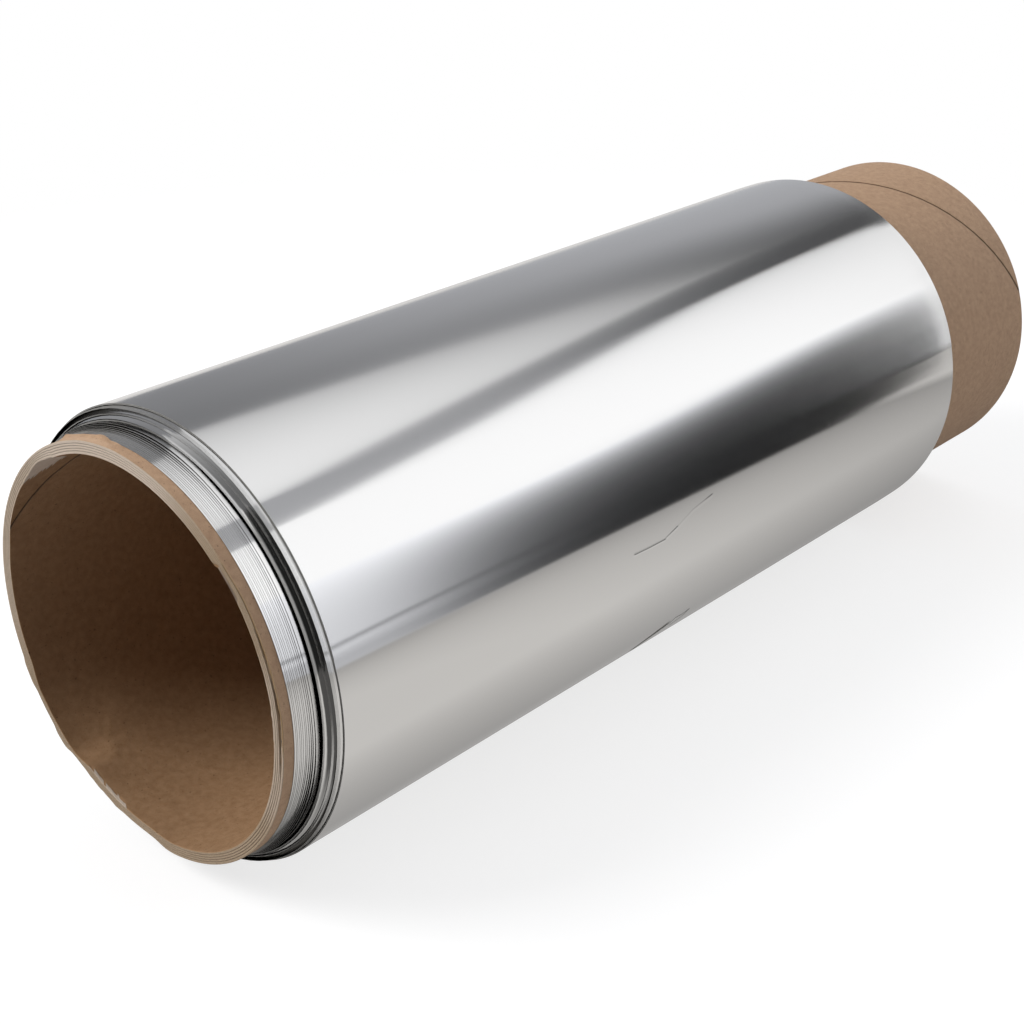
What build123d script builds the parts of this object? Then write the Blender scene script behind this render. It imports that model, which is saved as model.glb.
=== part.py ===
import os

from build123d import *

# A roll of stainless tool wrap: thin stainless foil wound on a kraft paperboard core.
# It lies on its foil. +X runs along the roll from its near end to its far end, +Z is up,
# and the origin is on the floor under the middle of the core. Sizes are in millimetres.

# Core tube
core_bore_diameter = 76.2  # a 3 in core
core_wall = 2.5
core_length = 257.2

# Foil strip
foil_thickness = 0.0508  # 0.002 in
foil_width = 203.2  # 8 in
winding_clearance = 0.02  # air between the core and the first turn

# Tight turns: each starts further along the core than the one under it, like a telescope
first_turn_setback = 2.4  # from the near end of the core to the first turn's edge
tight_turns = 12
turn_creep = 0.36

# Loose turns outside the tight ones, from the inside out: how many turns lie together,
# the air under them and where their near edge lies, counted from the core's near end
loose_groups = (
    {"turns": 4, "air": 0.67, "setback": 7.4},
    {"turns": 4, "air": 0.70, "setback": 8.6},
    {"turns": 4, "air": 1.17, "setback": 8.7},
    {"turns": 5, "air": 0.00, "setback": 10.0},
)
loose_sag = 0.25  # the loose turns hang this much lower than the core
open_depth = 12.0  # how far in from the outermost edge the loose turns stand apart
free_end_angle = 74.0  # where the outermost turn ends, from the top of the roll towards its front

core_radius = core_bore_diameter / 2 + core_wall
roll_bore_radius = core_radius + winding_clearance
tight_radius = roll_bore_radius + tight_turns * foil_thickness
roll_radius = tight_radius + sum(
    group["air"] + group["turns"] * foil_thickness for group in loose_groups
)

# Places along the roll, counted from the core's near end
outer_setback = loose_groups[-1]["setback"]
near_floor = outer_setback + open_depth
far_floor = first_turn_setback + foil_width - open_depth

# The outermost turn touches the floor, and the core lies a little above its middle
near_end_x = -core_length / 2
loose_height = roll_radius
core_height = roll_radius + loose_sag

# A plane across the roll at the core's near end: its local x runs from the axis out through the
# strip's free end, and its local y down the front
free_end_plane = Plane(
    origin=(near_end_x, 0, loose_height),
    x_dir=Vector(0, 0, 1).rotate(Axis.X, free_end_angle),
    z_dir=(1, 0, 0),
)


def lengthwise_plane(height):
    """The upright plane through an axis at this height: local x along the roll, local y upwards."""
    return Plane(origin=(near_end_x, 0, height), x_dir=(1, 0, 0), z_dir=(0, -1, 0))


def lengthwise_axis(height):
    return Axis((0, 0, height), (1, 0, 0))


def tight_steps(width_shift):
    """One end of the tight turns from the bore outwards, as points (place along the roll, radius)."""
    points = []
    for turn in range(tight_turns):
        place = first_turn_setback + turn * turn_creep + width_shift
        inner = roll_bore_radius + turn * foil_thickness
        points.append((place, inner))
        points.append((place, inner + foil_thickness))
    return points


def loose_fins(width_shift, floor):
    """One end of the loose turns. The air under a group is a groove whose bottom lies at floor,
    and a group without air lies on the one before it."""
    points = []
    radius = tight_radius
    for group in loose_groups:
        edge = group["setback"] + width_shift
        if group["air"] > 0:
            points.append((floor, radius))
            points.append((floor, radius + group["air"]))
        radius += group["air"]
        points.append((edge, radius))
        radius += group["turns"] * foil_thickness
        points.append((edge, radius))
    # The innermost point lies within the tight turns, which joins the loose turns to them
    points[0] = (floor, (roll_bore_radius + tight_radius) / 2)
    return points


# The core: plies of kraft board wound and glued into one tube, cut square at both ends
with BuildPart() as core_tube:
    with BuildSketch(Plane(origin=(near_end_x, 0, core_height), x_dir=(0, 1, 0), z_dir=(1, 0, 0))):
        Circle(core_radius)
        Circle(core_bore_diameter / 2, mode=Mode.SUBTRACT)
    extrude(amount=core_length)

# The foil: the tight turns are turned about the core, the loose ones about their own lower axis.
# Both ends of the strip show the same steps, because every turn is as wide as the strip.
with BuildPart() as foil_roll:
    with BuildSketch(lengthwise_plane(core_height)):
        with BuildLine():
            Polyline(*tight_steps(0), *reversed(tight_steps(foil_width)), close=True)
        make_face()
    revolve(axis=lengthwise_axis(core_height))
    with BuildSketch(lengthwise_plane(loose_height)):
        with BuildLine():
            Polyline(*loose_fins(0, near_floor), *reversed(loose_fins(foil_width, far_floor)), close=True)
        make_face()
    revolve(axis=lengthwise_axis(loose_height))
    # The free end of the strip: a step one foil thick along the whole width, below which the
    # surface follows a flat until it meets the round again
    with BuildSketch(free_end_plane):
        with Locations((roll_radius - foil_thickness, 0)):
            Rectangle(roll_radius / 4, roll_radius / 4, align=(Align.MIN, Align.MIN))
    extrude(amount=core_length, mode=Mode.SUBTRACT)

core_tube.part.label = "core_tube"
foil_roll.part.label = "foil_roll"

os.makedirs("parts", exist_ok=True)
export_step(core_tube.part, "parts/core_tube.step")
export_step(foil_roll.part, "parts/foil_roll.step")

turns = tight_turns + sum(group["turns"] for group in loose_groups)
print("roll radius", round(roll_radius, 3), "core height", round(core_height, 3), "turns", turns)
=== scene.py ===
# %% [markdown]
# # A roll of stainless tool wrap
#
# The object is a roll of very thin stainless foil on a kraft paperboard core, lying on its side.
# The frame gives two solids: the core tube, and one turned solid that stands for the whole foil.
# Here both get their looks. Each is one real thing, so each becomes one piece of the scene.
#
# Lengths are written in millimetres and turned into metres when a mesh is made. A place along
# the roll is counted from the near end of the core. An angle round the roll is counted from the
# side away from the camera (0) over the top (90) to the side that faces the camera (180).

# %% Tools and frame
import math

import bpy
import numpy as np
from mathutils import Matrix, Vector


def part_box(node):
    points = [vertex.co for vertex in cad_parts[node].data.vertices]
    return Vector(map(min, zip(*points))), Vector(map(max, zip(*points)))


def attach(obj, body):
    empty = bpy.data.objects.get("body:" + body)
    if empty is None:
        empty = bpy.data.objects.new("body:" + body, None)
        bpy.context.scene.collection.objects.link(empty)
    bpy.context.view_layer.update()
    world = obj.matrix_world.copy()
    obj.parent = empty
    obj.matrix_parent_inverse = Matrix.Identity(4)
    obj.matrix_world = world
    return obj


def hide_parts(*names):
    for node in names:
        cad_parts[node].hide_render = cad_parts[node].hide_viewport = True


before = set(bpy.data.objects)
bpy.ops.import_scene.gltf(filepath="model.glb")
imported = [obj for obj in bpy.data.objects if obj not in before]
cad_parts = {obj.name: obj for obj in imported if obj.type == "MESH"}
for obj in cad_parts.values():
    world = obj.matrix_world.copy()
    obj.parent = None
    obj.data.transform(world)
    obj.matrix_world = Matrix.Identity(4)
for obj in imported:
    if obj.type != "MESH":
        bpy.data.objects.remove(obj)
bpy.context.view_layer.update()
core_low, core_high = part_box("core_tube")
foil_low, foil_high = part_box("foil_roll")
print("core in mm:", [round((b - a) * 1000, 1) for a, b in zip(core_low, core_high)])
print("foil in mm:", [round((b - a) * 1000, 1) for a, b in zip(foil_low, foil_high)])

# %% [markdown]
# ## Sizes
#
# A dressed piece stands in for a solid of the frame, so it has to be as big. The sizes could be
# read off the solids, but a maker knows them as plain sizes of foil and tube, so they are written
# here again as such.

# %% Sizes
bore_radius = 38.1  # a 3 in core
core_wall = 2.5
core_length = 257.2
foil_thickness = 0.0508  # 0.002 in
foil_width = 203.2  # 8 in
winding_clearance = 0.02  # the air between the core and the first turn
roll_radius = 44.6332
core_sag = 0.25  # the core lies this much above the middle of the loose turns
core_radius = bore_radius + core_wall
loose_height = roll_radius
core_height = roll_radius + core_sag
free_end_angle = 164.0
print(f"foil {foil_width} mm wide, {2 * roll_radius:.1f} mm across; core {core_length} mm long")


# %% Places on the roll
def to_scene(place, angle, radius, height):
    """Points on a cylinder along the roll, in the scene's metres."""
    turn = np.radians(angle)
    x = place - core_length / 2
    y = radius * np.cos(turn)
    z = radius * np.sin(turn) + height
    return np.stack(np.broadcast_arrays(x, y, z), axis=-1) / 1000


def smooth(value, low, high):
    """0 below low, 1 above high, and a soft change between."""
    share = np.clip((value - low) / (high - low), 0, 1)
    return share * share * (3 - 2 * share)


# %% [markdown]
# ## One way to make a piece
#
# A foil and a tube are both a closed line of points that is carried round the roll. A screw
# modifier could carry it, but here the line changes on its way: each turn lies a little
# differently, and the tube is worn in places. So one function takes the points as a grid, joins
# each to its neighbours and gives every face its finish.

# %% Meshes
def make_mesh(name, points, faces, finishes, finish_of_face, wear_and_painted_light=None, sharp_angle=35):
    """A piece from its points and faces. Each face has one of the finishes, by its number."""
    mesh = bpy.data.meshes.new(name)
    mesh.from_pydata(points.reshape(-1, 3).tolist(), [], faces)
    for finish in finishes:
        mesh.materials.append(finish)
    mesh.polygons.foreach_set("material_index", finish_of_face)
    mesh.polygons.foreach_set("use_smooth", [True] * len(mesh.polygons))
    mesh.set_sharp_from_angle(angle=math.radians(sharp_angle))
    if wear_and_painted_light is not None:
        rgba = np.concatenate([wear_and_painted_light.reshape(-1, 3), np.ones((wear_and_painted_light.size // 3, 1))], axis=1)
        told = mesh.color_attributes.new("wear_and_painted_light", "FLOAT_COLOR", "POINT")
        told.data.foreach_set("color", rgba.ravel())
    mesh.validate()
    piece = bpy.data.objects.new(name, mesh)
    bpy.context.scene.collection.objects.link(piece)
    triangles = sum(len(face) - 2 for face in faces)
    print(f"{name}: {len(points.reshape(-1, 3))} points, {triangles} triangles")
    return piece


def grid_faces(rows, columns, first=0, close_rows=False, close_columns=False):
    """Four-sided faces of a grid whose points are stored row by row."""
    faces = []
    for row in range(rows if close_rows else rows - 1):
        for column in range(columns if close_columns else columns - 1):
            next_row, next_column = (row + 1) % rows, (column + 1) % columns
            faces.append(
                (
                    first + row * columns + column,
                    first + row * columns + next_column,
                    first + next_row * columns + next_column,
                    first + next_row * columns + column,
                )
            )
    return faces


# %% [markdown]
# ## Finishes
#
# Three real surfaces: bright-rolled stainless foil with its slit edges, smooth kraft liner paper,
# and the rough grey-brown edge of the board's plies. Colours are written as they look, and one
# function turns them linear. Patterns are sized in millimetres. They could be pictures wrapped
# round the pieces, but nodes need no unwrapping and stay sharp from near.

# %% Colours and nodes
def colour(hex_code):
    """A colour as it looks, such as "#C0C0C0", turned into Blender's linear numbers."""
    values = [int(hex_code[i : i + 2], 16) / 255 for i in (1, 3, 5)]
    linear = [v / 12.92 if v <= 0.04045 else ((v + 0.055) / 1.055) ** 2.4 for v in values]
    return (*linear, 1.0)


def new_finish(name):
    """A new material and its shader."""
    material = bpy.data.materials.new(name)
    material.use_nodes = True
    return material, material.node_tree.nodes["Principled BSDF"]


def add(material, kind, links=None, **settings):
    """Adds a node. Settings are sockets by name or its own properties; links join sockets."""
    node = material.node_tree.nodes.new(kind)
    for name, value in settings.items():
        socket = name.replace("_", " ").title()
        if socket in node.inputs and not hasattr(type(node), name):
            node.inputs[socket].default_value = value
        else:
            setattr(node, name, value)
    for socket, source in (links or {}).items():
        material.node_tree.links.new(source, node.inputs[socket])
    return node


def link(material, source, target):
    material.node_tree.links.new(source, target)


def scaled_place(material, across, round_the_roll):
    """The place on the object, stretched so that 1 is this many mm along and round the roll."""
    place = add(material, "ShaderNodeTexCoord")
    stretch = add(material, "ShaderNodeMapping", {"Vector": place.outputs["Object"]})
    stretch.inputs["Scale"].default_value = (
        1000 / across,
        1000 / round_the_roll,
        1000 / round_the_roll,
    )
    return stretch.outputs["Vector"]


def bumps(material, height, strength_mm, below=None):
    """Makes a height show as dents this many mm deep, on top of the bumps below."""
    node = add(material, "ShaderNodeBump", {"Height": height})
    node.inputs["Strength"].default_value = 1.0
    node.inputs["Distance"].default_value = strength_mm / 1000
    if below is not None:
        link(material, below.outputs["Normal"], node.inputs["Normal"])
    return node


# %% [markdown]
# ### Bright-rolled stainless foil
#
# Polished rolls squeezed the foil thin. They left a bright skin with very fine lines round the
# strip's length, so its reflections are sharp round the roll and drawn out along it. The lines
# could be cut into the mesh, but they are finer than a mesh should be. An anisotropic metal blurs
# as they do, and a faint bump shows a few of them.

# %% Foil finish
foil, shader = new_finish("stainless_foil_bright_rolled")
foil_roughness = 0.115
line_width = 0.35  # the real lines are about 0.01 mm wide, too fine to show
line_length = 45
line_depth = 0.0009
quarter_turn = 0.25  # turns the blur so that it runs along the roll
shader.inputs["Anisotropic"].default_value = 0.9
shader.inputs["Anisotropic Rotation"].default_value = quarter_turn
direction = add(foil, "ShaderNodeTangent", direction_type="RADIAL", axis="X")
link(foil, direction.outputs["Tangent"], shader.inputs["Tangent"])
line_place = scaled_place(foil, line_width, line_length)
lines = add(foil, "ShaderNodeTexNoise", {"Vector": line_place}, detail=3.0)
rolling_lines = bumps(foil, lines.outputs["Fac"], line_depth)
print(f"{foil.name}: roughness {foil_roughness}, lines {line_width} mm wide")

# %% [markdown]
# ### Marks on the foil
#
# This roll has been handled. A crease runs slantwise across its front, and below it is a small
# scuffed patch with kinks beside it. They are shallow, so bumps show them as well as a dented
# mesh would. Each is drawn as a line on the outermost turn, as if that lay unrolled.

# %% Place on the unrolled turn
# How many mm along the roll a point lies, and how many mm up its front
spot = add(foil, "ShaderNodeTexCoord")
spot_parts = add(foil, "ShaderNodeSeparateXYZ", {"Vector": spot.outputs["Object"]})
along_roll = add(foil, "ShaderNodeMath", {0: spot_parts.outputs["X"]}, operation="MULTIPLY_ADD")
along_roll.inputs[1].default_value = 1000
along_roll.inputs[2].default_value = core_length / 2
above_axis = add(foil, "ShaderNodeMath", {0: spot_parts.outputs["Z"]}, operation="SUBTRACT")
above_axis.inputs[1].default_value = loose_height / 1000
to_front = add(foil, "ShaderNodeMath", {0: spot_parts.outputs["Y"]}, operation="MULTIPLY")
to_front.inputs[1].default_value = -1
up_angle = add(
    foil,
    "ShaderNodeMath",
    {0: above_axis.outputs["Value"], 1: to_front.outputs["Value"]},
    operation="ARCTAN2",
)
up_front = add(foil, "ShaderNodeMath", {0: up_angle.outputs["Value"]}, operation="MULTIPLY")
up_front.inputs[1].default_value = roll_radius
unrolled = add(
    foil, "ShaderNodeCombineXYZ", {"X": along_roll.outputs["Value"], "Y": up_front.outputs["Value"]}
)


def line_mark(points, width):
    """1 on a line through points of the unrolled turn and 0 half its width away, in mm."""
    nearest = None
    for start, end in zip(points, points[1:]):
        step = Vector((end[0] - start[0], end[1] - start[1], 0))
        from_start = add(
            foil, "ShaderNodeVectorMath", {0: unrolled.outputs[0]}, operation="SUBTRACT"
        )
        from_start.inputs[1].default_value = (*start, 0)
        ahead = add(
            foil, "ShaderNodeVectorMath", {0: from_start.outputs[0]}, operation="DOT_PRODUCT"
        )
        ahead.inputs[1].default_value = step / step.length_squared
        share = add(foil, "ShaderNodeClamp", {"Value": ahead.outputs["Value"]})
        foot = add(foil, "ShaderNodeVectorMath", {"Scale": share.outputs[0]}, operation="SCALE")
        foot.inputs[0].default_value = step
        away = add(
            foil,
            "ShaderNodeVectorMath",
            {0: from_start.outputs[0], 1: foot.outputs[0]},
            operation="DISTANCE",
        )
        distance = away.outputs["Value"]
        if nearest is not None:
            both = add(foil, "ShaderNodeMath", {0: nearest, 1: distance}, operation="MINIMUM")
            distance = both.outputs["Value"]
        nearest = distance
    mark = add(foil, "ShaderNodeMapRange", {"Value": nearest}, interpolation_type="SMOOTHSTEP")
    mark.inputs["From Max"].default_value = width / 2
    mark.inputs["To Min"].default_value = 1
    mark.inputs["To Max"].default_value = 0
    return mark.outputs["Result"]


# %% Crease and scuffed patch
# Each line is told by its points and its width. The crease is sharp at its start and shallow
# further on.
# The crease's sharp start also carries painted shade: a dark line where the fold lies in shade
fold_painted_shade = line_mark([(87.6, 2.8), (92.4, 2.6), (97.6, 2.55)], 0.26)
crease = line_mark([(87.6, 2.8), (92.4, 2.6), (97.3, 2.5), (101.4, 3.7)], 0.9)
crease_end = line_mark([(101.4, 3.7), (107.0, 5.6), (113.5, 6.6)], 1.0)
scuff = line_mark([(102.6, -32.0), (105.0, -29.6), (107.0, -28.3), (109.5, -26.9)], 3.8)
kinks = line_mark([(111.2, -27.4), (111.9, -25.5), (114.3, -25.8), (116.3, -25.0)], 0.7)
kinks_below = line_mark([(116.3, -25.0), (115.6, -27.4), (112.8, -29.3)], 0.8)
depth_of_marks = (
    (crease, 0.05),
    (crease_end, 0.02),
    (scuff, 0.1),
    (kinks, 0.06),
    (kinks_below, 0.06),
)
below = rolling_lines
for mark, depth in depth_of_marks:
    below = bumps(foil, mark, depth, below)
link(foil, below.outputs["Normal"], shader.inputs["Normal"])
print(f"{foil.name}: {len(depth_of_marks)} marks")


# %% Colour and gloss of the foil
def over(material, share, below, hex_code):
    """Paints a colour over another one by a share."""
    node = add(material, "ShaderNodeMix", {"Factor": share}, data_type="RGBA")
    if isinstance(below, str):
        node.inputs[6].default_value = colour(below)
    else:
        link(material, below, node.inputs[6])
    node.inputs[7].default_value = colour(hex_code)
    return node.outputs[2]


# The steel is a light, slightly warm grey. Along the crease's sharp start it is painted dark as
# shade in the fold, and it is dark and dull where it is scuffed or kinked
scuff_roughness = 0.8
shown = over(foil, fold_painted_shade, "#CBCAC8", "#2E2E2E")
bright_steel = None
for mark, hex_code in ((scuff, "#5E5A53"), (kinks, "#4A4741"), (kinks_below, "#4A4741")):
    shown = over(foil, mark, shown, hex_code)
    less = add(foil, "ShaderNodeMath", {1: mark}, operation="SUBTRACT", use_clamp=True)
    if bright_steel is None:
        less.inputs[0].default_value = 1.0
    else:
        link(foil, bright_steel, less.inputs[0])
    bright_steel = less.outputs["Value"]
link(foil, shown, shader.inputs["Base Color"])
link(foil, bright_steel, shader.inputs["Metallic"])
rough = add(foil, "ShaderNodeMapRange", {"Value": bright_steel})
rough.inputs["To Min"].default_value = scuff_roughness
rough.inputs["To Max"].default_value = foil_roughness
link(foil, rough.outputs["Result"], shader.inputs["Roughness"])
print(f"{foil.name}: {len(foil.node_tree.nodes)} nodes")

# %% [markdown]
# ### Slit edge of the foil
#
# The strip was slit from a wider one by round knives, which shear the steel and leave a torn,
# rough edge. It could be a rough metal, but it scatters light so much that it looks like grey
# paint, and as such it also keeps its tone from every side.

# %% Slit edge finish
slit_edge, shader = new_finish("stainless_foil_slit_edge")
shader.inputs["Base Color"].default_value = colour("#9E9C98")
shader.inputs["Roughness"].default_value = 0.5
print(f"{slit_edge.name}: one grey")

# %% [markdown]
# ### Kraft paper
#
# The tube is faced with kraft liner, a smooth brown paper pressed on a hot roll. Up close it is
# cloudy from its pulp, with a grain of fibres and a few dark specks of bark. Noise of three sizes
# gives these. The wear is told by the mesh, because it belongs to places on the tube: dark
# cracks, torn fibres, painted shade in gaps, chips and along tears, and painted light on the near
# cut face and on torn raw fibres.

# %% Kraft paper finishes
cloud_size = 7
cloud_share = 0.3
fibre_width, fibre_length = 0.22, 0.34  # real fibres are 0.03 mm wide, too fine to show
fibre_depth = 0.02
speck_spacing = 2.4
speck_from, speck_to = 0.71, 0.75  # only the noise's highest tops are specks
speck_strength = 0.6
# The crack tone is also painted shade, in the open joint and the chips of the near end and along
# tears in the bore
torn_tone, crack_and_shade_tone, speck_tone = "#C9AE96", "#1E150E", "#4F3A28"


def wear_and_painted_light_of(material):
    """What the mesh tells of each point: dark cracks and painted shade, torn fibres, and painted
    light.
    """
    wear_and_painted_light = add(material, "ShaderNodeAttribute", attribute_name="wear_and_painted_light")
    channels = add(material, "ShaderNodeSeparateColor", {"Color": wear_and_painted_light.outputs["Color"]})
    return [channels.outputs[name] for name in ("Red", "Green", "Blue")]


def paper(name, dark_tone, light_tone, roughness):
    """Kraft paper: a little cloudy from its pulp, with a fine grain of fibres and a few specks."""
    material, shader = new_finish(name)
    shader.inputs["Roughness"].default_value = roughness
    shader.inputs["Specular IOR Level"].default_value = 0.35
    cloud_place = scaled_place(material, cloud_size, cloud_size)
    clouds = add(material, "ShaderNodeTexNoise", {"Vector": cloud_place}, detail=3.0)
    fibre_place = scaled_place(material, fibre_width, fibre_length)
    fibres = add(material, "ShaderNodeTexNoise", {"Vector": fibre_place}, detail=2.0)
    softer = add(material, "ShaderNodeMath", {0: clouds.outputs["Fac"]}, operation="MULTIPLY")
    softer.inputs[1].default_value = cloud_share
    mixed = add(
        material,
        "ShaderNodeMath",
        {0: fibres.outputs["Fac"], 2: softer.outputs["Value"]},
        operation="MULTIPLY_ADD",
    )
    mixed.inputs[1].default_value = 1 - cloud_share
    tones = add(material, "ShaderNodeValToRGB", {"Fac": mixed.outputs["Value"]})
    tones.color_ramp.elements[0].position = 0.34
    tones.color_ramp.elements[0].color = colour(dark_tone)
    tones.color_ramp.elements[1].position = 0.66
    tones.color_ramp.elements[1].color = colour(light_tone)
    dot_place = scaled_place(material, speck_spacing, speck_spacing)
    dots = add(material, "ShaderNodeTexNoise", {"Vector": dot_place}, detail=1.0)
    specks = add(material, "ShaderNodeMapRange", {"Value": dots.outputs["Fac"]})
    specks.inputs["From Min"].default_value = speck_from
    specks.inputs["From Max"].default_value = speck_to
    specks.inputs["To Max"].default_value = speck_strength
    dark, torn, _ = wear_and_painted_light_of(material)
    shown = over(material, specks.outputs["Result"], tones.outputs["Color"], speck_tone)
    shown = over(material, torn, shown, torn_tone)
    # Dark cracks, and painted shade along tears
    shown = over(material, dark, shown, crack_and_shade_tone)
    link(material, shown, shader.inputs["Base Color"])
    grain = bumps(material, fibres.outputs["Fac"], fibre_depth)
    link(material, grain.outputs["Normal"], shader.inputs["Normal"])
    print(f"{name}: {dark_tone} to {light_tone}")
    return material


# The liner in the bore is a little rougher than the one outside, and darker: partly its own paper,
# partly painted shade of the deep bore
liner = paper("kraft_paper_liner_calendered", "#9E7E64", "#C6A586", 0.7)
bore_liner_painted_darker = paper("kraft_paper_bore_liner", "#8A694A", "#B2906F", 0.8)

# %% [markdown]
# ### Cut edge of the plies
#
# The tube is cut to length across its plies of grey-brown board. The cut is the roughest surface
# here, with short fibres standing up, so it is matte, its tone changes from fibre to fibre, and
# its bump is the deepest. Paper can't show that, so it is a finish of its own. The grooves
# between the plies are real, in the mesh.

# %% Ply edge finish
board_grain = 0.5
cut_depth = 0.15
ply_edge, shader = new_finish("chipboard_plies_cut_edge")
shader.inputs["Roughness"].default_value = 0.9
grain_place = scaled_place(ply_edge, board_grain, board_grain)
grain = add(ply_edge, "ShaderNodeTexNoise", {"Vector": grain_place}, detail=5.0)
tones = add(ply_edge, "ShaderNodeValToRGB", {"Fac": grain.outputs["Fac"]})
tones.color_ramp.elements[0].position = 0.3
tones.color_ramp.elements[0].color = colour("#9C846A")
tones.color_ramp.elements[1].position = 0.7
tones.color_ramp.elements[1].color = colour("#C3AE96")
dark, torn, painted_light_and_raw_fibre = wear_and_painted_light_of(ply_edge)
# Painted light: #DACABA lightens the near face over its back, top and front, and the torn plies in
# the bore, where it is also the raw fibres' own pale colour
shown = over(ply_edge, painted_light_and_raw_fibre, tones.outputs["Color"], "#DACABA")
shown = over(ply_edge, torn, shown, "#A8875F")
# Dark cracks and joints, and painted shade in the open joint, the chips and along tears
shown = over(ply_edge, dark, shown, crack_and_shade_tone)
link(ply_edge, shown, shader.inputs["Base Color"])
cut_grain = bumps(ply_edge, grain.outputs["Fac"], cut_depth)
link(ply_edge, cut_grain.outputs["Normal"], shader.inputs["Normal"])
print(f"{ply_edge.name}: grain {board_grain} mm")

# %% [markdown]
# ## The foil
#
# It is one strip, 25 ft long and 0.05 mm thick, wound 29 times round the core. A turned solid
# can't show that, so the strip itself is made here: a thin band carried round in one spiral. Its
# place, radius and height are told for each turn where the turn can be seen, and change to the
# next turn's on the far side. The first 12 turns lie tight, each about a third of a millimetre
# further in than the one below. The others lie together in a loose sleeve, whose inner turns
# reach out of it at both ends and lean in towards the core.

# %% Places of the turns
tight_turns = 12
first_place = 2.38
step_in = 0.36
unevenness = 0.05

# Where each turn's near edge lies, from the first turn outwards
tight_places = [
    first_place + step_in * k + unevenness * math.sin(2.4 * k) for k in range(tight_turns)
]
loose_places = [7.48, 7.54, 7.60, 7.68, 8.58, 8.64, 8.70, 8.78]
loose_places += [8.86, 9.02, 9.18, 9.36, 9.98, 10.0, 10.03, 10.06, 10.1]
turn_place = [tight_places[0]] + tight_places + loose_places
last_turn = len(turn_place) - 1
print(f"{last_turn} turns, their near edges {turn_place[0]} to {turn_place[-1]} mm from the end")

# %% Air between the turns
# The air under a turn at the strip's edges, there at the roll's top and bottom, and further in
air_at_edge = {9: 0.02, 10: 0.03, 11: 0.04, 12: 0.05, 13: 0.6284, 17: 0.70, 21: 0.87, 25: 0.15}
air_within = {9: 0.02, 10: 0.03, 11: 0.04, 12: 0.05, 13: 2.3484}
air_at_limbs = {7: 0.03, 8: 0.05, 9: 0.08, 10: 0.12, 11: 0.15, 12: 0.17, 13: 0.1684}
air_at_limbs.update({k: air for k, air in air_at_edge.items() if k > 13})
turn_air_at_edge = np.cumsum([air_at_edge.get(k, 0.0) for k in range(last_turn + 1)])
turn_air_at_limbs = np.cumsum([air_at_limbs.get(k, 0.0) for k in range(last_turn + 1)])
turn_air_within = np.cumsum([air_within.get(k, 0.0) for k in range(last_turn + 1)])

# How a loose turn leans outwards from its edge: the share of its rise at each distance in mm
lean_inner = (
    [0, 0.25, 0.5, 0.8, 1.1, 1.3, 1.6, 2.0, 2.4, 2.8],
    [0, 0.017, 0.08, 0.22, 0.38, 0.445, 0.6, 0.83, 0.95, 1],
)
lean_outer = ([0, 0.2, 0.5, 0.9, 1.3, 1.7], [0, 0.09, 0.35, 0.74, 0.94, 1])
first_outer_turn = 17  # from here on a turn leans as the outer ones do

turn_sag = [0.0 if k <= tight_turns else core_sag for k in range(last_turn + 1)]
turn_radius = core_radius + foil_thickness * (np.arange(last_turn) + 0.5) + turn_air_within[:-1]
print(f"about {2 * math.pi * turn_radius.sum() / 1000:.1f} m of foil")

# %% One spiral of points
hidden_from, hidden_to = 0.225, 0.725  # the far side of a turn, as a share from the free end on
gaps_widest_at = 148  # degrees; the loose turns stand furthest apart here
gaps_narrow_from, gaps_narrow_to = 25, 55  # degrees away from there
curled_in = 0.13  # how far the loose turns close in over the last few mm at the far end
curl_from, curl_length = 204, 9
cut_slant = 0.0063  # degrees round for each mm along, at the strip's free end
cut_middle = 5


def along_the_strip(values, turn):
    """A value told for each turn, held where the turn shows and changed on its far side."""
    values = np.asarray(values)
    before = np.floor(turn - hidden_from).astype(int)
    change = smooth(turn - before, hidden_from, hidden_to)
    low = values[np.clip(before, 0, last_turn)]
    high = values[np.clip(before + 1, 0, last_turn)]
    return low + (high - low) * change


def strip_points(turns, across):
    """Points of the strip's outer face then its inner face, one row for each place round it."""
    turn = turns[:, None]
    angle = free_end_angle + 360 * turn
    place = along_the_strip(turn_place, turn) + across
    from_edge = np.minimum(across, foil_width - across)
    is_outer = [float(k >= first_outer_turn) for k in range(last_turn + 1)]
    outer_share = along_the_strip(is_outer, turn)
    within = (1 - outer_share) * np.interp(from_edge, *lean_inner)
    within = within + outer_share * np.interp(from_edge, *lean_outer)
    off_front = np.abs((angle - gaps_widest_at + 180) % 360 - 180)
    at_limbs = smooth(off_front, gaps_narrow_from, gaps_narrow_to)
    at_edge = along_the_strip(turn_air_at_edge, turn) * (1 - at_limbs)
    at_edge = at_edge + along_the_strip(turn_air_at_limbs, turn) * at_limbs
    air = at_edge * (1 - within)
    air = air + along_the_strip(turn_air_within, turn) * within
    loose = smooth(turn, tight_turns + 0.5, tight_turns + 2)
    far_curl = curled_in * loose * np.clip((place - curl_from) / curl_length, 0, 1) ** 2
    middle = core_radius + winding_clearance + foil_thickness * (turn + 0.5) + air - far_curl
    height = core_height - along_the_strip(turn_sag, turn)
    end_slant = cut_slant * (across - cut_middle) * smooth(turn, last_turn - 0.01, last_turn)
    outer = to_scene(place, angle + end_slant, middle + foil_thickness / 2, height)
    inner = to_scene(place, angle + end_slant, middle - foil_thickness / 2, height)
    return np.concatenate([outer, inner[:, ::-1]], axis=1)


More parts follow.
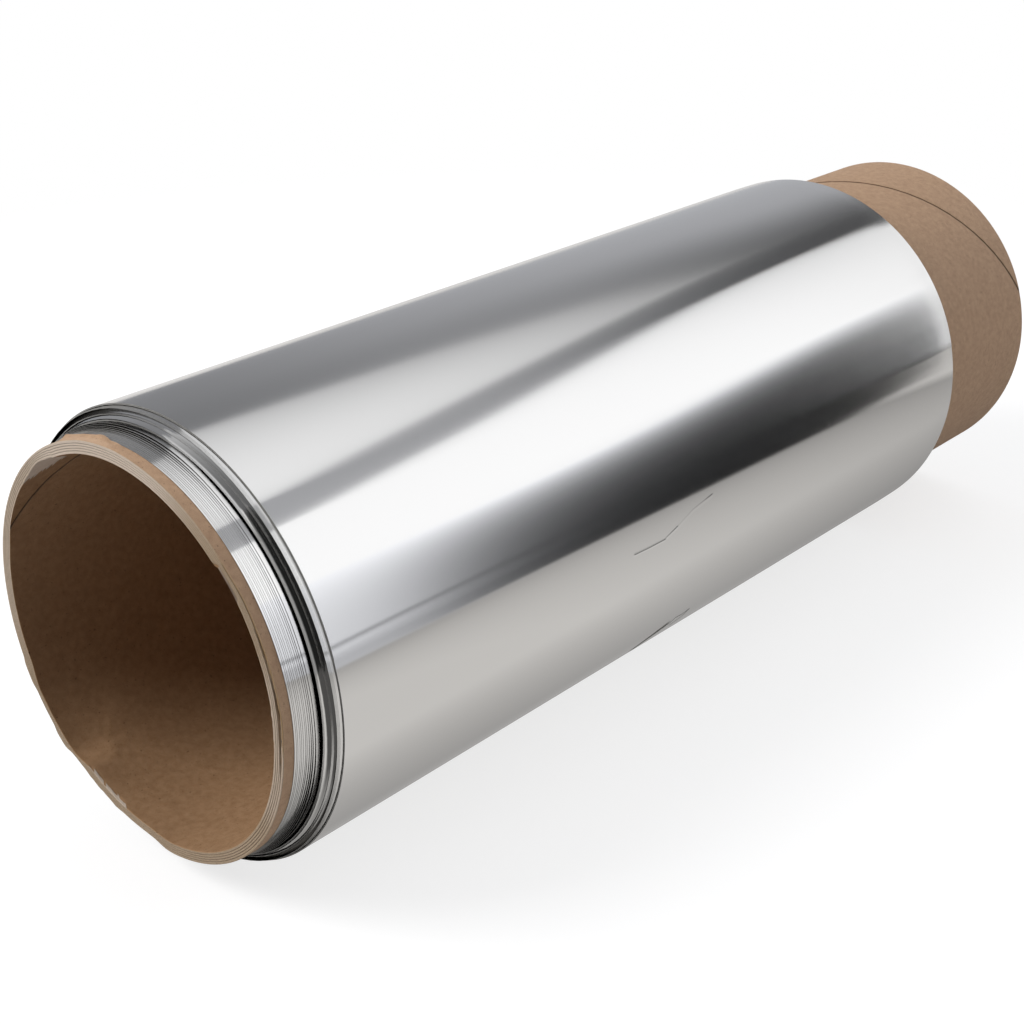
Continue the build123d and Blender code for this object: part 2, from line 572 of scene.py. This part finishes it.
def strip_part(turns, across, first):
    """Points, faces and finishes of one length of the strip, as a closed band. Its two slit
    edges and its two ends have the second finish."""
    points = strip_points(turns, across)
    rows, columns = points.shape[:2]
    faces = grid_faces(rows, columns, first, close_columns=True)
    wide = len(across)
    finish = [1 if k % columns in (wide - 1, columns - 1) else 0 for k in range(len(faces))]
    for row, flip in ((0, False), (rows - 1, True)):
        start = first + row * columns
        for k in range(wide - 1):
            face = (start + k, start + k + 1, start + columns - 2 - k, start + columns - 1 - k)
            faces.append(face[::-1] if flip else face)
            finish.append(1)
    return points.reshape(-1, 3), faces, finish


# %% Foil strip
# The tight turns need only their two edges, and the loose ones are bent near theirs. The
# outermost turn is finer, for its marks.
edge_to_edge = np.array([0.0, foil_width])
bent_edge = np.array([0.0, 0.2, 0.5, 0.8, 1.1, 1.4, 1.8, 2.3, 2.8])
bent_across = np.concatenate([bent_edge, foil_width - bent_edge[::-1]])
fine_across = np.concatenate(
    [[0, 0.3, 1, 2.5, 5], np.arange(10, 195, 6), [196, 198, 199.5, 201, 202.2, foil_width]]
)
parts = []
first = 0
for turn_from, turn_to, steps_a_turn, across in (
    (0.0, 12.25, 144, edge_to_edge),
    (12.25, 27.5, 96, bent_across),
    (27.5, last_turn, 288, fine_across),
):
    turns = np.linspace(turn_from, turn_to, round((turn_to - turn_from) * steps_a_turn) + 1)
    parts.append(strip_part(turns, across, first))
    first += len(parts[-1][0])
foil_strip = make_mesh(
    "foil_strip",
    np.concatenate([part[0] for part in parts]),
    [face for part in parts for face in part[1]],
    [foil, slit_edge],
    [finish for part in parts for finish in part[2]],
)
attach(foil_strip, "root")
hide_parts("foil_roll")

# %% [markdown]
# ## The core
#
# Such a tube is wound in a spiral from strips of board and cut to length. What shows of that are
# the seam of its outer liner, the seam of its bore liner, and the plies on its cut ends. This one
# has had knocks: at its near end an outer ply has come loose, the liner is torn in two places and
# curls up over the foil in a third. The tube could be sculpted by hand. Told by its place round
# the tube and its size in mm, each mark can be measured against the real one and put right.

# %% Wear of the core
flap_slant = 4.6  # degrees round the tube for each mm along it
flap_depth = 1.7


def arc(angle, low, high, soft):
    """1 between two angles round the tube, fading to 0 over some degrees outside them."""
    middle = (low + high) / 2
    off = np.abs((angle - middle + 180) % 360 - 180) - (high - low) / 2
    return 1 - smooth(off, 0, soft)


def ragged(angle, seed):
    """An uneven line round the tube between -1 and 1, the same on every run."""
    turn = np.radians(angle)
    waves = (19, 1.0, 1.0), (47, 0.8, 2.3), (89, 0.6, 4.1), (151, 0.4, 5.7)
    return sum(size * np.sin(count * turn + seed * phase) for count, size, phase in waves) / 2.8


def curl(angle, at):
    """How far the outer liner stands up near the tube's near rim, in mm: a torn flap, and frays.
    The flap is torn off slantwise, so that it starts further round at the rim itself."""
    along_tear = angle - flap_slant * max(flap_depth - at, 0)
    stations = [63.5, 66.5, 67.5, 70, 76, 80, 83, 85, 86.5, 89, 92]
    heights = [0, 0.1, 0.8, 0.55, 0.5, 0.65, 0.95, 0.85, 0.3, 0.4, 0]
    lift = np.interp(along_tear % 360, stations, heights)
    frays = 0.45 * arc(angle, 331, 336, 3) + 0.5 * arc(angle, 311, 315, 3)
    frays = frays + 0.2 * arc(angle, 286, 299, 3) * (1 + ragged(angle, 2.0))
    frays = frays + 0.42 * arc(angle, 144, 174, 9) * (1 + 0.15 * ragged(angle, 4.0))
    return lift * (1 + 0.12 * ragged(angle, 1.0)), frays


def bore_tear(angle):
    """How far in from the near rim the inner plies are torn away, in mm."""
    stations = [41, 43, 45, 48, 50, 53, 57, 62]
    top = np.interp(angle % 360, stations, [0, 1.0, 2.2, 3.9, 5.6, 6.3, 3.4, 0])
    front = np.interp(angle % 360, [133.4, 134.8, 150, 172, 186], [0, 1.0, 0.9, 0.5, 0])
    below = 0.8 * arc(angle, 285, 298, 4) * (1 + 0.4 * ragged(angle, 1.7))
    return top * (1 + 0.1 * ragged(angle, 0.6)) + front * (1 + 0.5 * ragged(angle, 3.1)) + below


def torn_step(angle):
    """The step where the torn inner plies end, in mm. Most of them are gone at the front."""
    return 0.15 + np.interp(angle % 360, [132, 134, 150, 186], [0, 0.42, 0.36, 0])


def mouth(angle):
    """How the near rim is out of round, in mm: pushed in, worn off outside and worn off inside."""
    pushed_in = 0.8 * arc(angle, 274, 298, 14)
    outer_worn = 0.5 * arc(angle, 270, 306, 6)
    inner_worn = 1.1 * arc(angle, 308, 328, 9) + 0.3 * arc(angle, 22, 38, 8)
    return pushed_in, outer_worn, inner_worn


# %% Seams
seam_rise = 0.3435  # mm along the tube for each degree round it
outer_seam = (231.3, 85.7)  # a place and angle on the outer seam
bore_seam = (0.0, 20.5)
paper_step = 0.2  # mm from one strip of liner down to the next


def seam_offset(place, angle, seam):
    """Degrees from the seam, from -180 to 180, at this place along the tube."""
    return (angle - seam[1] - (place - seam[0]) / seam_rise + 180) % 360 - 180


def ledge(offset):
    """The step at a seam, in mm, and how dark the crack beside it is."""
    step = paper_step * np.exp(-np.clip(offset, 0, None) / 7) * (offset >= -0.01)
    return step, np.exp(-(((offset - 0.12) / 0.38) ** 2))


# The grid's columns follow the seams, so that each seam lies on one of them
column_angles = np.arange(0, 360, 1.0)
for seam in (outer_seam, bore_seam):
    start = (seam[1] - seam[0] / seam_rise) % 360
    near = np.abs((column_angles - start + 180) % 360 - 180) > 0.8
    column_angles = np.concatenate([column_angles[near], start + np.array([-0.45, 0, 0.2, 0.5])])
column_angles = np.sort(column_angles % 360)
columns = len(column_angles)
print(f"core: {columns} columns, seams rise {360 * seam_rise:.0f} mm a turn")

# %% Outside and bore of the tube
knock_reach = 30  # a rim that was pushed in is round again this far along
worn_reach = 16
torn_slope = 0.1  # how steeply a tear rises, in mm out for each mm along
plain = np.zeros(columns)  # no wear


def outside(at):
    """The outer liner at a place along the tube: its seam, the flap and the frays."""
    angle = column_angles + at / seam_rise
    lift, frays = curl(angle, at)
    step, crack = ledge(seam_offset(at, angle, outer_seam))
    pushed_in, outer_worn, _ = mouth(angle)
    flap_profile = np.interp(at, [0.15, 0.9, 1.7, 2.2, 2.32], [0.1, 0.55, 1, 0.95, 0])
    fray_profile = np.interp(at, [0.15, 0.9, 1.7], [1, 0.4, 0])
    radius = core_radius - step * (at > 3)
    radius = radius + lift * flap_profile + frays * fray_profile
    radius = radius - pushed_in * (1 - smooth(at, 0, knock_reach))
    radius = radius - outer_worn * fray_profile
    dark = 0.95 * crack * (at > 200)
    torn = 0.25 * arc(angle, 68, 89, 2) * (at < 1.0)
    return at, angle, radius, (dark, torn, plain)


def in_the_bore(at):
    """The bore's liner at a place along the tube: its seam, and where inner plies are torn off."""
    angle = column_angles + at / seam_rise
    step, crack = ledge(seam_offset(at, angle, bore_seam))
    depth = np.clip(bore_tear(angle) - at, 0, None)
    pushed_in, _, inner_worn = mouth(angle)
    radius = bore_radius + step + torn_slope * depth + torn_step(angle) * smooth(depth, 0, 0.3)
    radius = radius - pushed_in * (1 - smooth(at, 0, knock_reach))
    radius = radius + inner_worn * (1 - smooth(at, 0, worn_reach))
    torn_here = depth > 0
    # Painted shadow: a dark band along the border of the tear, where the torn plies end
    shadow = 0.5 * (1 - smooth(depth, 0, 0.8)) * (0.6 + 0.6 * ragged(angle, 3 + 2 * at))
    dark = np.where(torn_here, np.clip(shadow, 0, 1), crack)
    # The torn plies get the raw fibres' light colour, made lighter still as painted light so that
    # they look as bright as the cut face
    return at, angle, radius, (dark, plain, 1.0 * torn_here)


# %% Cut ends of the tube
plies = 5
end_gap = 0.05  # the cut ends stay this far inside the frame's
bevel = 0.1
groove_width = 0.12  # the share of a ply that the groove beside it takes


def groove(share):
    """1 in the groove between two plies and 0 on a ply, at a share of the way across the wall."""
    within_ply = share * plies % 1
    return np.exp(-((min(within_ply, 1 - within_ply) / groove_width) ** 2))


def far_cut(share):
    """The far end, cut square and clean."""
    angle = column_angles + core_length / seam_rise
    radius = bore_radius + bevel + (core_wall - 2 * bevel) * share
    return core_length - end_gap - 0.14 * groove(share), angle, radius, (plain, plain, plain)


def near_cut(share):
    """The near end, knocked out of round, with an open joint, torn fibres and chips in front."""
    angle = column_angles
    lift, frays = curl(angle, 0)
    pushed_in, outer_worn, inner_worn = mouth(angle)
    tear = bore_tear(angle)
    inner = bore_radius + bevel + torn_slope * tear + torn_step(angle) * smooth(tear, 0, 0.3)
    inner = inner - pushed_in + inner_worn
    outer = core_radius - bevel + 0.1 * lift + frays - pushed_in - outer_worn
    radius = inner + (outer - inner) * share

    joint = groove(share) if 0.02 < share < 0.98 else 0.0
    open_joint = arc(angle, 138, 178, 4) * (0.80 < share < 0.91) * (1 + 0.3 * ragged(angle, 6.0))
    fibres_from = np.interp(angle % 360, [146, 160, 178, 192], [0.78, 0.66, 0.5, 0.78])
    fibres = (share > fibres_from) * (share < 0.82) * arc(angle, 152, 189, 2)
    chips = arc(angle, 134, 143, 2) * (share < 0.3) * (1 + ragged(angle, 5.0))
    place = end_gap + 0.12 * joint * (1 + 0.4 * ragged(angle, 7 * share))
    place = place + 0.9 * np.clip(open_joint, 0, 1)
    place = place + 0.35 * fibres * (1 + 0.6 * ragged(angle, 1.3 + 9 * share)) + 0.45 * chips

    # Painted shade: the open joint and the chips are painted dark as shade in them, and the grooves
    # between the plies are dark joints
    dark = np.clip(0.55 * joint + open_joint + 0.25 * chips, 0, 1)
    outer_ply = (share > 0.9) * arc(angle, 136, 180, 6)
    torn = np.clip(0.7 * fibres * (0.6 + 0.5 * ragged(angle, 8.0)) + 0.9 * outer_ply, 0, 1)
    # Painted light: the face is painted lighter over its back and top, and at its front
    painted_light_and_raw_fibre = 0.4 * arc(angle, 2, 104, 30) + 0.4 * arc(angle, 62, 104, 20)
    painted_light_and_raw_fibre = (painted_light_and_raw_fibre + 0.4 * arc(angle, 168, 200, 12)) * (1 - torn)
    return place, angle, radius, (dark, torn, painted_light_and_raw_fibre)


most_worn = max(worn.max() for worn in mouth(column_angles))
print(f"core: {plies} plies, near rim worn by up to {most_worn:.1f} mm")

# %% Once round the tube's wall
# A closed line: on which surface, and the place along it or the share of the way across it
near_stations = 30
outer_places = [0.15, 0.5, 0.9, 1.3, 1.7, 2.0, 2.2, 2.32, 3.5]
outer_places += [*np.arange(8, 204, 6), *np.arange(204, 256.6, 1.75), 256.9]
bore_places = [256.9, *np.arange(254, 120, -6), *np.arange(120, 6, -3)]
bore_places += [*np.arange(6.6, 0.3, -0.3), 0.15]
wall = [(outside, place) for place in outer_places]
wall += [(far_cut, share) for share in np.linspace(1, 0, 3 * plies + 1)]
wall += [(in_the_bore, place) for place in bore_places]
wall += [(near_cut, share) for share in np.linspace(0, 1, near_stations + 1)]
print(f"core: {len(wall)} places round its wall")

# %% Core tube
# Where the bore's liner is torn off, the raw board under it shows
core_finishes = [liner, ply_edge, bore_liner_painted_darker]
finish_of_surface = {outside: 0, far_cut: 1, in_the_bore: 2, near_cut: 1}
raw_board = 1
rows = []
wear_and_painted_light_rows = []
core_finish = []
for surface, at in wall:
    place, angle, radius, wear_and_painted_light = surface(at)
    rows.append(to_scene(place, angle, radius, core_height))
    wear_and_painted_light_rows.append(np.stack(np.broadcast_arrays(*wear_and_painted_light), axis=-1))
    torn_off = (wear_and_painted_light[2] > 0) & (surface is in_the_bore)
    core_finish += np.where(torn_off, raw_board, finish_of_surface[surface]).tolist()
kraft_core = make_mesh(
    "kraft_core",
    np.array(rows),
    grid_faces(len(wall), columns, close_rows=True, close_columns=True),
    core_finishes,
    core_finish,
    np.array(wear_and_painted_light_rows),
)
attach(kraft_core, "root")
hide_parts("core_tube")

# %% [markdown]
# ## The table and the studio
#
# A bright roll shows little but what stands round it, so the studio is built as a photographer
# would: a pale table that ends in front on the right, and cards and light panels in a half tunnel
# over it. They are outside the picture. The camera doesn't see them, so they are never in the way
# in another view, and behind them is plain white.
#
# ### Table
#
# A white table could be lit until it clips, but then the roll would be lit too much as well. So
# the camera sees it as plain white with the roll's shadow on it. The foil sees it as a glow with
# painted shadows: darker towards its front edge, under the roll, and past the roll's near end,
# where the photographer stands in the light. As a source of light on the roll it is plain pale
# card.

# %% Table
table_outline = (
    (-1.6, -0.9),
    (-0.35, -0.81),
    (0.105, -0.335),
    (0.190, -0.222),
    (0.240, -0.183),
    (0.300, -0.197),
    (0.400, -0.256),
    (0.650, -0.420),
    (1.000, -0.500),
    (1.000, 0.95),
    (-1.6, 0.95),
)
table_mesh = bpy.data.meshes.new("table")
table_mesh.from_pydata([(x, y, 0.0) for x, y in table_outline], [], [range(len(table_outline))])
table = bpy.data.objects.new("table", table_mesh)
bpy.context.scene.collection.objects.link(table)
print(f"table: {len(table_outline)} corners")

# %% Table card
shadow_depth = 0.4
open_table_light = 0.72
pale, shader = new_finish("table_white_card")
shader.inputs["Base Color"].default_value = colour("#CFCFCF")
shader.inputs["Roughness"].default_value = 1.0
shader.inputs["Specular IOR Level"].default_value = 0.0
rays = add(pale, "ShaderNodeLightPath")
place = add(pale, "ShaderNodeTexCoord")


def ramp(distance, near, far, value_near, value_far):
    """Changes evenly from one value to another between two distances in metres."""
    node = add(pale, "ShaderNodeMapRange", {"Value": distance})
    node.inputs["From Min"].default_value = near
    node.inputs["From Max"].default_value = far
    node.inputs["To Min"].default_value = value_near
    node.inputs["To Max"].default_value = value_far
    return node.outputs["Result"]


def product(first, second):
    """One value times another."""
    node = add(pale, "ShaderNodeMath", {0: first, 1: second}, operation="MULTIPLY")
    return node.outputs["Value"]


# %% What the foil sees of the table
# The shadows that the foil sees on the table are painted. Each ramp is told by where it starts and
# ends, and how bright the table is there: dark under the roll, darker towards the front edge but
# not at the far end, and darkest past the near end
# the roll, darker towards the front edge but not at the far end, and darkest past the near end
parts_of_place = add(pale, "ShaderNodeSeparateXYZ", {"Vector": place.outputs["Object"]})
from_roll = add(pale, "ShaderNodeMath", {0: parts_of_place.outputs["Y"]}, operation="ABSOLUTE")
painted_shadow_under_roll = ramp(from_roll.outputs["Value"], 0.030, 0.070, 0.44, 0.89)
from_edge = add(pale, "ShaderNodeVectorMath", {0: place.outputs["Object"]}, operation="DOT_PRODUCT")
from_edge.inputs[1].default_value = (-0.905, 0.426, 0)
painted_shade_to_the_front = ramp(from_edge.outputs["Value"], -0.287, -0.021, 0.5, 1.0)
painted_shadow_past_near_end = ramp(parts_of_place.outputs["X"], -0.138, -0.118, 0.13, 1.0)
at_far_end = ramp(parts_of_place.outputs["X"], 0.18, 0.27, 0.0, 0.96)
brighter = add(pale, "ShaderNodeMath", {0: painted_shade_to_the_front, 1: at_far_end}, operation="MAXIMUM")
painted_shadows_for_foil = product(product(painted_shadow_under_roll, brighter.outputs["Value"]), painted_shadow_past_near_end)
warm_white = colour("#FFFDFB")
# The foil sees the table as a glow with these painted shadows in it, not as lit card
seen_by_foil = add(pale, "ShaderNodeEmission", {"Strength": painted_shadows_for_foil}, color=warm_white)

# %% What the camera sees of the table
# Near the roll it is card that glows so much that only a shadow brings it below white, and
# further away it is white
shaded = add(pale, "ShaderNodeBsdfDiffuse", color=(shadow_depth,) * 3 + (1,))
glow = add(pale, "ShaderNodeEmission", strength=1 - shadow_depth * open_table_light)
near_roll = add(pale, "ShaderNodeAddShader", {0: shaded.outputs[0], 1: glow.outputs[0]})
white = add(pale, "ShaderNodeEmission", strength=1.0)
distance = add(pale, "ShaderNodeVectorMath", {0: place.outputs["Object"]}, operation="LENGTH")
away = ramp(distance.outputs["Value"], 0.20, 0.42, 0.0, 1.0)
seen_by_camera = add(
    pale, "ShaderNodeMixShader", {0: away, 1: near_roll.outputs[0], 2: white.outputs[0]}
)
seen = add(
    pale,
    "ShaderNodeMixShader",
    {0: rays.outputs["Is Camera Ray"], 1: seen_by_foil.outputs[0], 2: seen_by_camera.outputs[0]},
)
either = add(
    pale,
    "ShaderNodeMath",
    {0: rays.outputs["Is Camera Ray"], 1: rays.outputs["Is Glossy Ray"]},
    operation="ADD",
)
any_of = add(
    pale,
    "ShaderNodeMath",
    {0: either.outputs["Value"], 1: rays.outputs["Is Transmission Ray"]},
    operation="ADD",
    use_clamp=True,
)
both = add(
    pale,
    "ShaderNodeMixShader",
    {0: any_of.outputs["Value"], 1: shader.outputs[0], 2: seen.outputs[0]},
)
link(pale, both.outputs[0], pale.node_tree.nodes["Material Output"].inputs["Surface"])
table_mesh.materials.append(pale)
print(f"{pale.name}: {len(pale.node_tree.nodes)} nodes")

# %% [markdown]
# ### Studio cards
#
# A photographer lays streaks on a bright roll with white and black cards. The foil draws their
# reflections out along the roll, so a card is told like a streak: where its two edges run along
# the tunnel, and how bright it is at each. Flat cards would need many corners for that, so each
# is a curved sheet whose brightness is stored in its points.

# %% Curved cards
tunnel_radius = 1.5
steps_along, steps_across = 60, 41

card_finish, _ = new_finish("studio_card")
# The cards are so big that stray rays find them, which is quicker than aiming rays at them
card_finish.cycles.emission_sampling = "NONE"
shade = add(card_finish, "ShaderNodeAttribute", attribute_name="shade")
lit = add(card_finish, "ShaderNodeEmission", {"Color": shade.outputs["Color"]}, strength=1.0)
card_output = card_finish.node_tree.nodes["Material Output"]
link(card_finish, lit.outputs[0], card_output.inputs["Surface"])


def card(name, stations, tint=(1, 1, 1), fall=None, radius=tunnel_radius):
    """A card in the tunnel round the table. Each station is a place along the tunnel in metres,
    the angles of the card's two edges and how bright it is at each. fall shapes the change of
    brightness from the first edge to the second."""
    stations = np.array(stations, float)
    even_places = np.linspace(stations[0, 0], stations[-1, 0], steps_along)
    places = np.unique(np.concatenate([stations[:, 0], even_places]))
    across = np.linspace(0, 1, steps_across)
    first, second, bright_first, bright_second = (
        np.interp(places, stations[:, 0], stations[:, k])[:, None] for k in (1, 2, 3, 4)
    )
    angle = np.radians(first + (second - first) * across)
    change = across if fall is None else fall(across, places[:, None])
    bright = bright_first + (bright_second - bright_first) * change
    x = np.broadcast_to(places[:, None], angle.shape)
    y = radius * np.cos(angle)
    z = radius * np.sin(angle) + loose_height / 1000
    points = np.stack([x, y, z], axis=-1)
    mesh = bpy.data.meshes.new(name)
    mesh.from_pydata(points.reshape(-1, 3).tolist(), [], grid_faces(*angle.shape))
    mesh.materials.append(card_finish)
    colours = np.ones((*angle.shape, 4))
    colours[..., :3] = bright[..., None] * np.array(tint)
    shade = mesh.color_attributes.new("shade", "FLOAT_COLOR", "POINT")
    shade.data.foreach_set("color", colours.ravel())
    piece = bpy.data.objects.new(name, mesh)
    bpy.context.scene.collection.objects.link(piece)
    piece.visible_camera = False
    print(f"{name}: {bright.min():.2f} to {bright.max():.2f}")


# %% How brightness changes across a card
def late(share, place):
    """Little at first and most of it near the second edge."""
    return smooth(share, 0.45, 0.92)


def early(share, place):
    """Most of it near the first edge."""
    return 1 - (1 - share) ** 2.2


def fading(share, place):
    """A quick fall that tails off, slower at the tunnel's near end."""
    stations = [0.9, 1.09, 1.24, 1.41, 1.6, 1.8, 2.11, 2.3]
    speed = np.interp(place, stations, [2, 3.7, 5, 6, 6.6, 8.6, 9.6, 8])
    return (1 - np.exp(-speed * share)) / (1 - np.exp(-speed))


# Shares of red, green and blue in the light of a card
cool = (0.97, 0.99, 1.05)
daylight = (0.985, 0.995, 1.02)

# %% Cards behind and above the roll
# The dim wall gives the back its grey, and the light above it the bright upper streak
card(
    "dim_wall_behind",
    [
        (-2.4, -5, 50, 0.50, 0.40),
        (0.0, -5, 52, 0.40, 0.32),
        (0.85, -5, 54, 0.32, 0.29),
        (1.2, -5, 59, 0.46, 0.38),
        (1.55, -5, 67, 0.53, 0.36),
        (1.8, -5, 77, 0.55, 0.20),
        (2.0, -5, 89, 0.56, 0.08),
        (2.9, -5, 90, 0.57, 0.08),
    ],
    cool,
    late,
)
card(
    "ceiling_light",
    [
        (-2.4, 50, 105, 0.75, 0.16),
        (-0.3, 50, 105, 0.75, 0.2),
        (0.3, 52, 106.5, 0.95, 1.0),
        (0.85, 54, 105.4, 0.85, 1.42),
        (1.2, 59, 95, 0.75, 1.22),
        (1.55, 67, 84.5, 0.62, 0.84),
        (1.8, 77, 77.5, 0.5, 0.5),
    ],
    daylight,
    early,
)
card(
    "dark_gap_between_lights",
    [
        (0.5, 106.5, 120.5, 0.6, 0.6),
        (0.89, 104.5, 118.5, 0.6, 0.6),
        (1.24, 94, 110, 0.50, 0.50),
        (1.58, 84, 100, 0.33, 0.31),
        (1.8, 77.5, 93.5, 0.16, 0.15),
        (2.0, 88.5, 89, 0.1, 0.1),
    ],
    cool,
)

# %% Cards in front of the roll
# The white panel gives the widest streak, and the black card below it the dark one, which fades
# in from above and ends short of both ends of the roll
card(
    "white_panel",
    [
        (0.5, 120.5, 154, 1.6, 1.65),
        (0.89, 118.5, 154, 1.6, 1.65),
        (1.24, 110, 154, 1.6, 1.65),
        (1.58, 99.5, 153, 1.5, 1.65),
        (1.8, 93, 151, 1.3, 1.65),
        (2.1, 90, 149, 1.1, 1.65),
        (2.15, 90, 190, 1.15, 1.65),
        (2.9, 90, 190, 1.3, 1.65),
    ],
    daylight,
    early,
)
black_stations = [
    (0.5, 148, 183, 1.6, 1.3),
    (0.89, 148, 183, 1.6, 1.15),
    (0.98, 148, 183, 1.6, 1.1),
    (1.03, 148.5, 188, 1.6, 0.6),
    (1.08, 149, 188, 1.6, 0.15),
    (1.24, 149.5, 188, 1.6, 0.03),
    (1.41, 150, 188, 1.6, 0.01),
    (1.58, 148.8, 187, 1.6, 0.01),
    (1.8, 146, 186, 1.6, 0.01),
    (1.97, 143, 186, 1.6, 0.01),
    (2.1, 142, 186, 1.6, 0.01),
    (2.25, 143, 186.5, 1.6, 0.01),
    (2.33, 147.5, 187, 1.6, 0.02),
    (2.38, 154, 188, 1.6, 0.05),
    (2.42, 165, 189, 1.6, 0.2),
    (2.45, 186, 190, 1.6, 1.5),
    (2.9, 188, 190, 1.6, 1.5),
]
in_front = tunnel_radius - 0.01
card("black_card_fading_in", black_stations, cool, fading, in_front)
near_wall_shade = 0.82
black_below = [(x, 183, 215, near_wall_shade, near_wall_shade) for x in (0.5, 0.98)]
black_below += [(x, last, 215, dark, dark) for x, _, last, _, dark in black_stations if x > 1]
card("black_card", black_below, cool, radius=in_front)
near_line = [(0.4, 178.3, 180.0, 0.55, 0.55), (1.02, 178.3, 180.0, 0.5, 0.5)]
card("edge_of_the_near_wall", near_line, cool, radius=in_front - 0.01)
card(
    "dim_wall_behind_the_camera",
    [(-2.4, 105, 195, 0.10, 0.03), (-0.5, 105, 195, 0.10, 0.03), (0.5, 119, 190, 0.6, 0.6)],
)

# %% [markdown]
# ### Lamp, flat cards and world
#
# The paper core needs light of its own, from behind the near end, so that it shines into the bore.
# One soft lamp gives it. The foil doesn't show the lamp, because a reflection of it would be
# a hard white patch. The room's far end and the photographer are flat cards, as nothing in them
# runs in streaks.

# %% Lamp and flat cards
def flat_card(name, corners, shade_value):
    """A flat card between corners in metres, of one even brightness."""
    mesh = bpy.data.meshes.new(name)
    mesh.from_pydata(corners, [], [range(len(corners))])
    mesh.materials.append(card_finish)
    shade = mesh.color_attributes.new("shade", "FLOAT_COLOR", "POINT")
    shade.data.foreach_set("color", [*(shade_value,) * 3, 1.0] * len(corners))
    piece = bpy.data.objects.new(name, mesh)
    bpy.context.scene.collection.objects.link(piece)
    piece.visible_camera = False
    print(f"{name}: {shade_value}")


soft_lamp = bpy.data.objects.new("soft_lamp", bpy.data.lights.new("soft_lamp", "AREA"))
soft_lamp.data.size = 0.7
soft_lamp.data.energy = 14
soft_lamp.location = (-0.9, 0.65, 0.95)
to_core = Vector((-0.05, 0, 0.04)) - soft_lamp.location
soft_lamp.rotation_mode = "QUATERNION"
soft_lamp.rotation_quaternion = to_core.to_track_quat("-Z", "Y")
soft_lamp.visible_glossy = False
bpy.context.scene.collection.objects.link(soft_lamp)

flat_card(
    "photographer",
    [(-0.62, -0.10, 0.0), (-0.18, -0.58, 0.0), (-0.22, -0.62, 0.75), (-0.66, -0.14, 0.75)],
    0.02,
)
flat_card(
    "grey_end_of_the_room",
    [(2.95, -1.0, -0.4), (2.95, 1.0, -0.4), (2.95, 1.0, 1.1), (2.95, -1.0, 1.1)],
    0.38,
)
flat_card(
    "light_panel_at_the_end",
    [(2.94, 0.06, 0.2), (2.94, 0.42, 0.2), (2.94, 0.42, 1.1), (2.94, 0.06, 1.1)],
    1.0,
)

# %% White all round
world = bpy.data.worlds.new("white_all_round")
bpy.context.scene.world = world
world.use_nodes = True
background = world.node_tree.nodes["Background"]
background.inputs["Color"].default_value = colour("#FFFFFF")
background.inputs["Strength"].default_value = 1.0
print(f"world: {world.name}")

# %% [markdown]
# ## The camera
#
# A camera could be moved by hand until the picture fits. Here the photograph's perspective was
# fitted to two cylinders on one axis instead, which gives where the camera stood, where it looked
# and how long its lens was for a square picture.

# %% Camera
camera = bpy.data.objects.new("camera", bpy.data.cameras.new("camera"))
camera.data.lens = 59.43
camera.data.sensor_width = 36.0
camera.data.clip_start = 0.01
camera.location = (-0.27578, -0.22479, 0.20015)
looking = Vector((0.66640634, 0.60410989, -0.43698265))
camera.rotation_mode = "QUATERNION"
camera.rotation_quaternion = looking.to_track_quat("-Z", "Y")
bpy.context.scene.collection.objects.link(camera)
bpy.context.scene.camera = camera
bpy.context.scene.view_settings.view_transform = "Standard"
print(f"camera: lens {camera.data.lens:.1f} mm, {camera.location.length:.3f} m from the origin")
